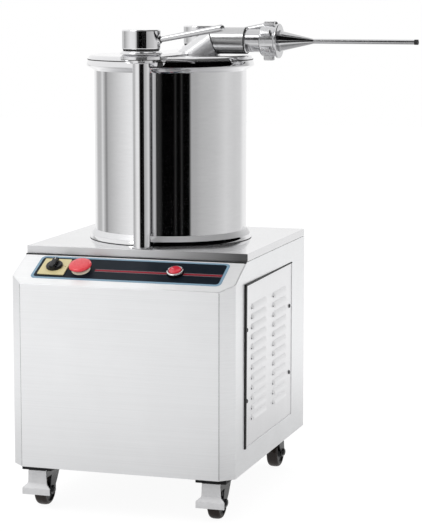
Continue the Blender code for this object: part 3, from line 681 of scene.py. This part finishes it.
def outlet_rings(radius, start_z, end_x, steps=64):
    """Rings of the mitred outlet, in frame coordinates: a climbing leg, then a level one."""
    rising = Vector((cos(OUTLET_SLOPE), 0, sin(OUTLET_SLOPE)))
    level = Vector((1, 0, 0))
    corner = Vector((AXIS_X + MITRE_X, AXIS_Y, OUTLET_AXIS))
    start = corner - rising * ((OUTLET_AXIS - start_z) / sin(OUTLET_SLOPE))
    end = Vector((AXIS_X + end_x, AXIS_Y, OUTLET_AXIS))
    return [
        outlet_ring(radius, start, Vector((0, 0, 1)), rising, steps),
        outlet_ring(radius, corner, (rising + level).normalized(), rising, steps),
        outlet_ring(radius, end, level, level, steps),
    ]


def bead(points, radius, sides=8):
    """A weld bead along a closed line of points."""
    middle = sum(points, Vector()) / len(points)
    rings = []
    for i, point in enumerate(points):
        along = (points[(i + 1) % len(points)] - points[i - 1]).normalized()
        out = (point - middle).normalized()
        out = (out - along * out.dot(along)).normalized()
        across = along.cross(out)
        ripple = 1 + 0.1 * sin(i * 2.4)
        angles = [tau * side / sides for side in range(sides)]
        rings.append([point + radius * ripple * (out * cos(a) + across * sin(a)) for a in angles])
    return lofted(rings + rings[:1], cap=False)


def capsule(half_width, reach, steps=20):
    """A bar along Y with round ends, their centres at the reach to either side."""
    points = []
    for end, start in ((1, 0), (-1, pi)):
        for i in range(steps + 1):
            angle = start + pi * i / steps
            points.append((half_width * cos(angle), end * reach + half_width * sin(angle)))
    return points


def build_lid():
    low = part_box("lid")[0].z
    high = low + LID_THICK
    build_ear_shadows(low, high)
    build_lid_plate(low, high)
    build_outlet(low)
    # A black ring at the lid's rim: painted shade where the lid overhangs the barrel's top
    rim = [(0.177, low - 0.00012), (0.1946, low - 0.00012), (0.1956, low + 0.0003),
           (0.1956, low + 0.0014), (0.1946, low + 0.0016), (0.177, low + 0.0002)]
    shadow_piece("lid_rim_painted_shadow", turned(rim, 120, 0), "lid", at(AXIS_X, AXIS_Y, 0))


def front_mouth(x, y, low, half):
    """The cutter that opens the front ear's slot towards the left."""
    return block((x - 0.08, y - half, low - 0.01), (x, y + half, BAR_TOP + 0.01))


def build_ear_shadows(low, high):
    """Black under the lid's two ears, painted shadow, outside the disc and clear of the posts."""
    x, front_y = post_place("front")
    pads = []
    for y in (front_y, post_place("rear")[1]):
        pad = shifted(rod(0.0462, high - 0.005, high - 0.0038, 64), at(x, y, 0))
        inside = shifted(rod(0.195, low - 0.01, BAR_TOP, 144), at(AXIS_X, AXIS_Y, 0))
        opening = shifted(rod(0.0138, low - 0.01, BAR_TOP), at(x, y, 0))
        pads.append(worked(pad, [cut(inside), cut(opening)]))
    pads = worked(merged(pads), [cut(front_mouth(x, front_y, low, 0.0138))])
    shadow_piece("lid_ear_painted_shadow", pads, "lid")


def build_lid_plate(low, high):
    """The disc and its cross bar, open for the outlet and the posts."""
    x, front_y = post_place("front")
    rear_y = post_place("rear")[1]
    reach = (rear_y - front_y) / 2
    disc = [(0, low), (0.194, low)] + arc_down(0.195, low + 0.0006, 0.0072, 18, 34)
    edge = disc[-1][0]
    disc += [(edge - 0.0022, low + 0.0095), (edge - 0.005, high - 0.0004), (edge - 0.0075, high), (0, high)]
    disc = shifted(turned(disc, 144, 0), at(AXIS_X, AXIS_Y, 0))
    layers = [(0.019, low), (0.018, high - 0.0042), (0.0, high - 0.0034), (0.0, high + 0.003),
              (0.0078, BAR_TOP), (0.03, BAR_TOP)]
    bar = stacked(lambda inset: capsule(EAR - inset, reach), softened(layers, 0.001, 4, False))
    bar = shifted(bar, at(x, AXIS_Y, 0))
    bore = lofted(outlet_rings(OUTLET_BORE, low - 0.02, 0.25, 48))
    stud = shifted(rod(0.0126, low - 0.01, BAR_TOP + 0.01), at(x, rear_y, 0))
    slot = shifted(rod(0.0132, low - 0.01, BAR_TOP + 0.01), at(x, front_y, 0))
    mouth = front_mouth(x, front_y, low, 0.0132)
    lid = worked(disc, [join(bar), cut(bore), cut(stud), cut(slot), cut(mouth)])
    piece("lid_plate", "mirror_steel_level", lid, "lid", "lid", crease=30)


def build_outlet(low):
    """The mitred pipe welded to the lid, and the neck that takes the union nut."""
    outer = outlet_rings(PIPE, low + 0.006, 0.186)
    # The leg takes the lighter copy of the steel and the pipe the darker one, painted shade
    for part, rings in (("leg", outer[:2]), ("pipe", outer[1:])):
        bore = lofted(outlet_rings(OUTLET_BORE, low - 0.02, 0.2))
        piece(f"outlet_{part}", f"outlet_{part}", worked(lofted(rings), [cut(bore)]), "lid",
              crease=25)
    spigot = [(OUTLET_BORE, 0.1855), (0.03, 0.1855), (0.03, 0.1876), (0.0262, 0.1896),
              (0.0262, 0.24), (OUTLET_BORE, 0.24)]
    piece("outlet_spigot", "nozzle_steel", turned(spigot, 72, 0.0005), "lid",
          matrix=OUTLET_PLACE)
    piece("outlet_mitre_weld", "dark_zinc_and_painted_shade", bead(outer[1], 0.0013), "lid")
    # A black ring at the step from the pipe's end to the neck: painted shadow
    step_shadow = [(OUTLET_BORE, 0.1861), (0.0304, 0.1861), (0.0306, 0.1868), (0.0306, 0.1886),
              (0.03, 0.189), (OUTLET_BORE, 0.1862)]
    shadow_piece("outlet_step_painted_shadow", turned(step_shadow, 64, 0), "lid", OUTLET_PLACE)


def build_clamps():
    for side in ("front", "rear"):
        x, y = post_place(side)
        place = at(x, y, DECK)
        washer = [(0.0127, 0.4404), (0.047, 0.4404), (0.0478, 0.4418), (0.047, 0.444),
                  (0.043, 0.4475), (0.0395, 0.449), (0.0127, 0.449)]
        piece(f"{side}_clamp_washer", "mirror_steel_level", turned(washer, 96, 0.0006), f"{side}_washer",
              f"{side}_washer", place)
        build_knob(side, place)
        build_lever(side, place @ LEVER_TILT)


def build_knob(side, place):
    """A knob with a collar and a socket for its lever, and a dark band around its foot: painted shadow between
    knob and washer.
    """
    knob = [(0.0126, 0.4494), (0.0395, 0.4494), (0.0395, 0.4515), (0.0425, 0.4522), (0.0435, 0.454),
            (0.0435, 0.4935), (0.042, 0.4955), (0, 0.496), (0, 0.49), (0.0126, 0.49)]
    collar = [(0, -0.005), (0.0102, -0.005), (0.0102, 0.003), (0.009, 0.0044), (0, 0.0044)]
    body = worked(turned(knob, 96, 0.0012), [join(shifted(turned(collar, 48, 0.0005), LEVER_TILT)),
                                            cut(shifted(rod(0.0066, -0.0165, 0.03, 40), LEVER_TILT))])
    piece(f"{side}_clamp_knob", "mirror_steel", body, f"{side}_knob", f"{side}_knob",
          place, crease=28)
    foot_shadow = [(0.0385, 0.4491), (0.0412, 0.4493), (0.0416, 0.4506), (0.0412, 0.4518), (0.0385, 0.4518)]
    shadow_piece(f"{side}_knob_painted_shadow", turned(foot_shadow, 96, 0), f"{side}_knob", place)


def build_lever(side, place):
    """A bar that thickens to a round end, and a ring where it enters the knob."""
    length = 0.1575
    tip = 0.0079
    bar = [(0, -0.0155), (0.006, -0.0155), (0.006, 0.006), (0.0064, 0.012), (tip, length - 0.008)]
    for step in range(1, 7):
        angle = pi / 2 * step / 6
        bar.append((tip * cos(angle) if step < 6 else 0, length - 0.008 + 0.008 * sin(angle)))
    piece(f"{side}_lever_bar", "satin_steel_level", turned(bar, 48, 0), f"{side}_knob",
          f"{side}_lever", place)
    ring = [(0.0061, 0.0046), (0.0082, 0.0046), (0.0082, 0.0058), (0.0061, 0.0058)]
    piece(f"{side}_lever_ring", "dark_zinc_and_painted_shade", turned(ring, 40, 0.0003), f"{side}_knob",
          matrix=place)


def build_nozzle():
    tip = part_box("nozzle")[1].x - AXIS_X
    outline = [(0.0228, 0.2404), (0.0296, 0.2404), (0.0296, 0.246), (0.024, 0.246), (0.024, 0.272),
               (0.0225, 0.2755), (0.0078, 0.3395), (0.0055, 0.348), (0.0055, tip), (0.0043, tip),
               (0.0043, 0.347), (0.02, 0.275)]
    piece("nozzle_tube", "nozzle_steel", turned(outline, 64, 0.001), "nozzle",
          "nozzle", OUTLET_PLACE)
    # A black ring at the tube's tip: painted shade of its dark open end
    ring = [(0.0056, tip - 0.0095), (0.006, tip - 0.009), (0.006, tip - 0.0004), (0.0045, tip - 0.0002),
            (0.0043, tip - 0.0095)]
    shadow_piece("nozzle_tip_painted_shade", turned(ring, 48, 0), "nozzle", OUTLET_PLACE)
    nut = [(0.0279, 0.2255), (0.0335, 0.2255), (0.0355, 0.2275), (0.0355, 0.2595), (0.0372, 0.261),
           (0.04, 0.2625), (0.04, 0.2668), (0.0385, 0.268), (0.0246, 0.268), (0.0246, 0.2464),
           (0.03, 0.2464), (0.03, 0.2402), (0.0279, 0.2402)]
    lugs = []
    for i in range(LUGS):
        lug = block((0.032, -0.0065, 0.23), (0.045, 0.0065, 0.255), 0.0028)
        lugs.append(shifted(lug, Matrix.Rotation(tau * i / LUGS, 4, "Z")))
    body = worked(turned(nut, 72, 0.0005), [join(merged(lugs))])
    piece("nozzle_union_nut", "satin_steel_level", body, "union_nut", "union_nut",
          OUTLET_PLACE, crease=28)


# Controls


def slope_frame(position):
    """x across, y up the slope, z out of the sheet."""
    out = -Vector(JOINTS["switch_turn"]["axis"])
    across = Vector((1, 0, 0))
    up = out.cross(across)
    matrix = Matrix((across, up, out)).transposed().to_4x4()
    matrix.translation = position
    return matrix


def build_controls():
    switch = slope_frame(JOINTS["switch_turn"]["pos_m"])
    build_panel(switch)
    build_switch(switch)
    build_stop(slope_frame(JOINTS["stop_twist"]["pos_m"]))
    build_button(button_frame(switch))


def button_frame(switch):
    """The button's place: the middle of its box, dropped onto the switch's plane."""
    low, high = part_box("button_bezel")
    middle = (low + high) / 2
    out = switch.to_3x3() @ Vector((0, 0, 1))
    return slope_frame(middle - out * (middle - switch.translation).dot(out))


def build_panel(place):
    """The control panel's border, field and line, in the switch's frame."""
    border = rounded_rectangle((-0.046, -0.0455), (0.406, 0.0465), 0.012)
    piece("panel_border", "border_film", extruded(border, 0.0003, 0.001), "base",
          "control_panel", place)
    field = rounded_rectangle((-0.04, -0.0395), (0.4, 0.0405), 0.008)
    piece("panel_field", "navy_film", extruded(field, 0.0008, 0.00112), "base", matrix=place)
    left, right = 0.099, 0.4
    line = rounded_rectangle((left, -0.0062), (right, -0.0026), 0.0012, 3)
    piece("panel_line", "crimson_film", extruded(line, 0.0009, 0.0012), "base", matrix=place)
    edges = []
    for y in (-0.0092, -0.0008):
        corners = [(left, y), (right, y), (right, y + 0.0011), (left, y + 0.0011)]
        edges.append(extruded(corners, 0.0009, 0.00118))
    piece("panel_line_edges", "pink_film", merged(edges), "base", matrix=place)


def build_switch(place):
    """A square plate with two ticks, and a round knob with a bar across it."""
    plate = extruded(rounded_rectangle((-0.032, -0.032), (0.032, 0.032), 0.0025), 0.0014, 0.004, 0.0006)
    plate = worked(plate, [cut(rod(0.006, -0.01, 0.01, 40))])
    piece("switch_face", "yellow_plate", plate, "base", "switch_plate", place)
    ticks = []
    for turn in (0, -90):
        tick = block((-0.0006, 0.024, 0.0038), (0.0006, 0.028, 0.00415))
        ticks.append(shifted(tick, Matrix.Rotation(radians(turn), 4, "Z")))
    piece("switch_ticks", "black_plastic", merged(ticks), "base", matrix=place)
    knob = [(0, -0.0015), (0.004, -0.0015), (0.004, 0.0045), (0.0195, 0.0045), (0.0193, 0.0085),
            (0.0172, 0.0106), (0, 0.0106)]
    grip = block((-0.0072, -0.019, 0.006), (0.0072, 0.018, 0.0185), 0.0034, 4)
    handle = worked(turned(knob, 72, 0.0008), [join(grip)])
    piece("switch_handle", "black_plastic", handle, "switch_knob", "switch_knob",
          place, crease=30)
    pointer = block((-0.0008, 0.008, 0.0179), (0.0008, 0.015, 0.01865), 0.0003, 1)
    piece("switch_pointer", "white_plastic", pointer, "switch_knob", matrix=place)


def build_stop(place):
    """The emergency stop's collar and mushroom head."""
    collar = [(0.0064, -0.03), (0.0105, -0.03), (0.0105, 0.0014), (0.0215, 0.0014), (0.0215, 0.0034),
              (0.0175, 0.006), (0.0064, 0.006)]
    piece("stop_ring", "cream_plastic", turned(collar, 72, 0.0006), "base",
          "stop_collar", place)
    head = [(0.0061, 0.0115), (0.0235, 0.0115), (0.0258, 0.0122), (0.0265, 0.0142), (0.0258, 0.0168),
            (0.0235, 0.0187), (0.019, 0.02), (0.012, 0.0208), (0, 0.0211), (0, 0.0158),
            (0.0061, 0.0158)]
    piece("stop_mushroom", "red_plastic", turned(head, 96, 0.0012), "stop_head",
          "stop_head", place)


def build_button(place):
    """The push button's bezel, bright ring and domed lens."""
    bezel = [(0.0064, -0.03), (0.0105, -0.03), (0.0105, 0.0014), (0.0192, 0.0014), (0.0192, 0.0082),
             (0.018, 0.0102), (0.0154, 0.0102), (0.0154, 0.0046), (0.0064, 0.0046)]
    piece("button_ring", "black_plastic", turned(bezel, 72, 0.0005), "base",
          "button_bezel", place)
    trim = [(0.0156, 0.008), (0.0195, 0.008), (0.0195, 0.0094), (0.0186, 0.0108), (0.0168, 0.0114),
            (0.0156, 0.0108)]
    piece("button_trim", "mirror_steel", turned(trim, 72, 0.0004), "base", matrix=place)
    lens = [(0, -0.02), (0.0058, -0.02), (0.0058, 0.009), (0.0146, 0.009), (0.0146, 0.0122),
            (0.0136, 0.0138), (0.011, 0.0148), (0.006, 0.0156), (0, 0.016)]
    piece("button_cap", "red_lens", turned(lens, 72, 0.001), "button_lens",
          "button_lens", place)


# Casters


FORK_END = 0.013


def build_caster(corner):
    swivel = JOINTS[f"caster_swivel_{corner}"]["pos_m"]
    axle = JOINTS[f"wheel_roll_{corner}"]["pos_m"]
    top = at(swivel[0], swivel[1], 0)
    build_caster_mount(corner, top)
    build_caster_fork(corner, top, axle[1] - swivel[1], axle[2])
    build_caster_wheel(corner, at(*axle) @ ALONG_X)
    if corner.startswith("front"):
        build_brake_pedal(corner, at(*JOINTS[f"brake_press_{corner}"]["pos_m"]))


def build_caster_mount(corner, top):
    """A bolted plate with the swivel's pin, and on the front casters a black pad over its front, which stands
    for the plate and paints the shadow in the gap above the pedal.
    """
    plate = block((-0.036, -0.036, 0.0985), (0.036, 0.036, 0.1035), 0.001)
    pin = turned([(0, 0.083), (0.0095, 0.083), (0.011, 0.0842), (0.011, 0.0858), (0.008, 0.0858),
                  (0.008, 0.099), (0, 0.099)], 40, 0.0004)
    head = [(0, 0.0955), (0.005, 0.0955), (0.0056, 0.0962), (0.0056, 0.099), (0, 0.099)]
    spots = [(x, y) for x in (-0.0285, 0.0285) for y in (-0.0285, 0.0285)]
    bolts = merged([shifted(turned(head, 6, 0), at(x, y, 0)) for x, y in spots])
    piece(f"caster_mount_{corner}", "mount_black", worked(plate, [join(pin), join(bolts)]), "base",
          f"caster_plate_{corner}", top)
    if corner.startswith("front"):
        pad = block((-0.036, -0.0775, 0.0915), (0.036, 0, 0.103), 0.0008, 1)
        pad = worked(pad, [cut(rod(0.034, 0.08, 0.11))])
        piece(f"caster_shadow_pad_{corner}", "mount_black", pad, "base", matrix=top)


def fork_side(trail, radius):
    """The outline of a fork's leg, from the swivel down to a round end at the axle."""
    toward = 1 if trail > 0 else -1
    side = [(-0.018, 0.0955), (0.02, 0.0955), (0.0375, 0.066), (0.0415, 0.042)]
    for step in range(9):
        angle = pi * (0.06 - 1.12 * step / 8)
        side.append((abs(trail) + FORK_END * cos(angle), radius + FORK_END * sin(angle)))
    side += [(0.003, 0.052), (-0.013, 0.074)]
    return [(toward * a, b) for a, b in softened(side, 0.004, 3)]


def build_caster_fork(corner, top, trail, radius):
    """A ball race with two legs and the axle's bolt and nuts. The trail is positive towards the rear."""
    race = turned([(0.0086, 0.0864), (0.0225, 0.0864), (0.0245, 0.0885), (0.0245, 0.095),
                   (0.0215, 0.098), (0.0086, 0.098)], 64, 0.0008)
    side = fork_side(trail, radius)
    legs = [shifted(extruded(side, start, start + 0.003, 0.0006), STANDING) for start in (0.0166, -0.0196)]
    bolt = rod(0.005, -0.025, 0.025, 32, 0.0006)
    nuts = merged([rod(0.0088, z, z + 0.0042, 6) for z in (-0.0236, 0.0194)])
    hub = at(0, trail, radius) @ ALONG_X
    fork = worked(race, [join(merged(legs)), join(shifted(bolt, hub)), join(shifted(nuts, hub))])
    piece(f"caster_yoke_{corner}", "fork_painted_dark_reflection", fork, f"caster_fork_{corner}",
          f"caster_fork_{corner}", top, crease=28)


def build_caster_wheel(corner, centre):
    half = [(0.0285, 0.014), (0.0318, 0.014), (0.0342, 0.0128), (0.0361, 0.0104), (0.0372, 0.007),
            (0.0375, 0.0032)]
    piece(f"caster_tyre_{corner}", "wheel_rubber", turned(both_sides(half), 96, 0.0008),
          f"caster_wheel_{corner}", f"caster_wheel_{corner}", centre)
    half = [(0.0057, 0.0152), (0.0125, 0.0152), (0.015, 0.011), (0.0262, 0.01), (0.0283, 0.0128),
            (0.0286, 0.0128)]
    piece(f"caster_core_{corner}", "black_plastic", turned(both_sides(half), 72, 0.0006),
          f"caster_wheel_{corner}", matrix=centre)


def both_sides(half):
    """A wheel's outline from the (radius, height) points of its half."""
    return [(r, -h) for r, h in half] + [(r, h) for r, h in reversed(half)]


def build_brake_pedal(corner, pivot):
    """A folded pedal in front of its two arms, which turn on pins through the fork."""
    levels = ((0.0085, 0.0215, 0), (-0.019, 0.0225, 0), (-0.0225, 0.0235, 0.0008),
              (-0.0315, 0.0335, 0.0075), (-0.035, 0.0335, 0.0088), (-0.047, 0.0335, 0.0088))
    back, thick = -0.0422, 0.0032
    rings = []
    for z, half, out in levels:
        rear = back - out
        rings.append([(-half, rear, z), (half, rear, z), (half, rear - thick, z), (-half, rear - thick, z)])
    piece(f"caster_pedal_{corner}", "pedal_zinc", lofted(rings), f"brake_pedal_{corner}",
          f"brake_pedal_{corner}", pivot, bevel=0.0006, crease=28)
    arms = []
    for s in (-1, 1):
        inner, outer = sorted((s * 0.0203, s * 0.0225))
        arm = block((inner, -0.0425, -0.008), (outer, 0.006, 0.007), 0.0006, 2)
        pin = shifted(rod(0.0031, 0.0163, 0.0215, 24), Matrix.Rotation(s * radians(90), 4, "Y"))
        arms.append(worked(arm, [join(pin)]))
    piece(f"caster_pedal_arms_{corner}", "fork_painted_dark_reflection", merged(arms), f"brake_pedal_{corner}",
          matrix=pivot, crease=28)


# Stage


def floor_look():
    """A pale matt floor that glows enough to meet the white backdrop."""
    made, tree = new_tree("floor_look")
    preset(tree.nodes["Principled BSDF"], {
        "Base Color": (0.12, 0.12, 0.12, 1), "Roughness": 0.8, "Specular IOR Level": 0.0,
        "Emission Color": (1, 1, 1, 1), "Emission Strength": 0.93,
    })
    return made


CAMERA_TURN = radians(17.56)
CAMERA_PITCH = radians(8.05)


def build_camera():
    level = cos(CAMERA_PITCH)
    look = Vector((-sin(CAMERA_TURN) * level, cos(CAMERA_TURN) * level, -sin(CAMERA_PITCH)))
    data = bpy.data.cameras.new("camera")
    data.sensor_fit = "VERTICAL"
    data.sensor_height = 36.0
    data.lens = 135.6
    data.clip_end = 100
    camera = added("camera", data)
    camera.location = (AXIS_X + 1.524, AXIS_Y - 4.499, 1.198)
    camera.rotation_euler = look.to_track_quat("-Z", "Y").to_euler()
    bpy.context.scene.camera = camera


def glowing(name, stops, by_reach=False):
    """Light that varies with the azimuth about the object's Z, or with the distance from it in metres.

    Azimuths are degrees to the right of the camera, seen from above. Each stop is (measure, brightness)."""
    look, tree = new_tree(name)
    tree.nodes.remove(tree.nodes["Principled BSDF"])
    place = new_node(tree, "TexCoord")
    ramp = new_node(tree, "ValToRGB")
    glow = new_node(tree, "Emission")
    if by_reach:
        reach = new_node(tree, "VectorMath")
        reach.operation = "LENGTH"
        wire(place, "Object", reach, 0)
        share = new_node(tree, "MapRange", {"From Max": WALL})
        wire(reach, "Value", share, "Value")
        wire(share, "Result", ramp, "Fac")
    else:
        turn = new_node(tree, "TexGradient")
        turn.gradient_type = "RADIAL"
        wire(place, "Object", turn, "Vector")
        wire(turn, "Fac", ramp, "Fac")
    wire(ramp, "Color", glow, "Color")
    wire(glow, "Emission", tree.nodes["Material Output"], "Surface")
    while len(ramp.color_ramp.elements) < len(stops):
        ramp.color_ramp.elements.new(0.5)
    for element, (measure, shade) in zip(ramp.color_ramp.elements, stops):
        element.position = measure / WALL if by_reach else 0.5 + measure / 360
        element.color = (shade, shade, shade, 1)
    return look


def card(name, inner, outer, look, arc=(-180, 180), narrowed=(0, 0), steps=96):
    """A surface about the barrel's axis between two (distance, height) points, seen in reflections only.

    Along the arc its two heights change by the narrowed amounts."""
    solid = bmesh.new()
    rows = []
    for step in range(steps + 1):
        share = step / steps
        angle = radians(arc[0] + (arc[1] - arc[0]) * share)
        points = [(r * cos(angle), r * sin(angle), z + change * share)
                  for (r, z), change in zip((inner, outer), narrowed)]
        rows.append([solid.verts.new(point) for point in points])
    for here, after in zip(rows, rows[1:]):
        solid.faces.new((here[0], here[1], after[1], after[0]))
    made = added(name, mesh_of(name, solid))
    made.location = (AXIS_X, AXIS_Y, 0)
    made.rotation_euler.z = CAMERA_TURN - radians(90)
    made.data.materials.append(look)
    made.visible_camera = False
    made.visible_diffuse = False
    made.visible_shadow = False


# The wall's distance, its brightness by azimuth low down and high up, and the floor's by distance
WALL = 3.0
STUDIO = (
    (-180, 1), (-150, 0.95), (-139, 0.55), (-127, 0.56), (-121, 0.84), (-117, 0.64), (-110, 0.27),
    (-105, 0.5), (-95, 0.6), (-78, 0.78), (-60, 0.95), (-36, 0.92), (-26, 0.6), (-23, 0.06), (-13, 0.02),
    (-11, 0), (6, 0), (8, 0.03), (10, 0), (15, 0), (17, 0.03), (19, 0), (29, 0), (31, 0.46),
    (38, 0.46), (46, 0.53), (70, 0.62), (90, 0.76), (110, 0.71), (128, 0.74), (140, 0.95), (180, 1),
)
STUDIO_HIGH = ((-180, 1), (-30, 0.95), (-12, 0.5), (100, 0.46), (128, 0.55), (140, 0.95), (180, 1))
FLOOR_GLOW = ((0.0, 0.5), (0.9, 0.62), (1.6, 0.98), (3.0, 1.1))
BLACK = ((-180, 0), (180, 0))
GREY = ((-180, 0.34), (180, 0.34))


def build_world():
    world = bpy.data.worlds.new("studio")
    world.use_nodes = True
    preset(world.node_tree.nodes["Background"], {"Color": (1, 1, 1, 1), "Strength": 1})
    bpy.context.scene.world = world
    bpy.context.scene.view_settings.view_transform = "Standard"


def build_floor():
    solid = bmesh.new()
    bmesh.ops.create_grid(solid, x_segments=1, y_segments=1, size=12)
    floor = added("floor", mesh_of("floor", solid))
    floor.location = (0, 0, -0.0006)
    floor.data.materials.append(floor_look())


def build_key_light():
    data = bpy.data.lights.new("key_light", "AREA")
    data.size = 1.6
    data.energy = 25
    lamp = added("key_light", data)
    place = Vector((-1.6, -2.0, 3.2))
    aim = Vector((0, 0, 0.6))
    lamp.location = place
    lamp.rotation_euler = (aim - place).to_track_quat("-Z", "Y").to_euler()


def build_stage():
    build_world()
    build_floor()
    build_key_light()
    card("studio_wall", (WALL, 0.0), (WALL, 1.13), glowing("studio_low", STUDIO))
    card("studio_wall_top", (WALL, 1.13), (WALL, 9.0), glowing("studio_high", STUDIO_HIGH))
    card("studio_fin", (2.9, 1.55), (2.9, 7.3), glowing("studio_black", BLACK), (-35, 126), (0.0, -3.4))
    card("studio_ceiling", (0.0, 9.2), (2.9, 9.2), glowing("studio_ceiling_black", BLACK), (-35, 60))
    card("studio_floor", (0.1, 0.0008), (WALL, 0.0008), glowing("studio_ground", FLOOR_GLOW, True))
    card("studio_floor_flag", (0.35, 0.0016), (1.2, 0.0016), glowing("studio_grey", GREY), (-8, 38))


dress_cad_nodes()
build_cabinet()
build_side_panel()
build_barrel()
build_posts()
build_lid()
build_clamps()
build_nozzle()
build_controls()
for corner in CORNERS:
    build_caster(corner)
build_camera()
build_stage()
